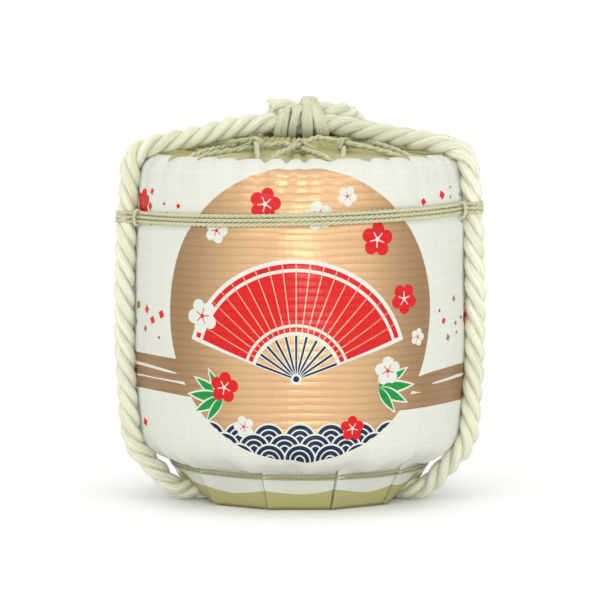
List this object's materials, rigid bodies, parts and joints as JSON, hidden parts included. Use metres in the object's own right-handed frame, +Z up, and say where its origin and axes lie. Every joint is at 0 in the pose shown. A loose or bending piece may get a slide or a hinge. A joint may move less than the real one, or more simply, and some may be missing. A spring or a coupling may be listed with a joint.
{
  "type": "straw-wrapped sake barrel",
  "caption": "Straw-wrapped wooden sake barrel: a coopered cedar cask in straw mats and a printed cover, bound with thick rope and thin cords.",
  "frame": {"origin": "on the barrel's axis at the floor it stands on", "axes": "+Z up along the barrel's axis; the printed front faces -Y, +X is to the right seen from the front"},
  "size_m": [0.4038, 0.3842, 0.4432],
  "materials": {
    "cedar": "planed, unfinished",
    "bamboo": "split, natural skin",
    "straw": "woven rice straw",
    "printed_sheet": "woven sheet with a satin print",
    "rope": "laid, dry fibres",
    "cord": "laid, dry fibres"
  },
  "bodies": {
    "barrel": {"band_cord": "cord", "base_mat": "straw", "binding_rope": "rope", "bottom_board_1": "cedar", "bottom_board_2": "cedar", "bottom_board_3": "cedar", "bottom_board_4": "cedar", "bottom_dowels": "bamboo", "hoop_1": "bamboo", "hoop_2": "bamboo", "hoop_3": "bamboo", "hoop_4": "bamboo", "hoop_5": "bamboo", "hoop_6": "bamboo", "knot_winding": "rope", "lower_lacing": "cord", "printed_cover": "printed_sheet", "side_mat": "straw", "stave_01": "cedar", "stave_02": "cedar", "stave_03": "cedar", "stave_04": "cedar", "stave_05": "cedar", "stave_06": "cedar", "stave_07": "cedar", "stave_08": "cedar", "stave_09": "cedar", "stave_10": "cedar", "stave_11": "cedar", "stave_12": "cedar", "stave_13": "cedar", "stave_14": "cedar", "stave_15": "cedar", "stave_16": "cedar", "stave_17": "cedar", "stave_18": "cedar", "tie_cord": "cord", "top_mat": "straw", "upper_lacing": "cord"},
    "head": {"head_board_1": "cedar", "head_board_2": "cedar", "head_board_3": "cedar", "head_board_4": "cedar", "head_dowels": "bamboo"},
    "bung": {"bung": "cedar"},
    "vent_peg": {"vent_peg": "bamboo"}
  },
  "joints": [
    {"name": "head_lift", "type": "slide", "parent": "barrel", "child": "head", "axis": [0, 0, 1], "range_m": [0, 0.008]},
    {"name": "bung_pull", "type": "slide", "parent": "head", "child": "bung", "axis": [0, 0, 1], "range_m": [0, 0.016]},
    {"name": "vent_peg_pull", "type": "slide", "parent": "head", "child": "vent_peg", "axis": [0, 0, 1], "range_m": [0, 0.016]}
  ]
}
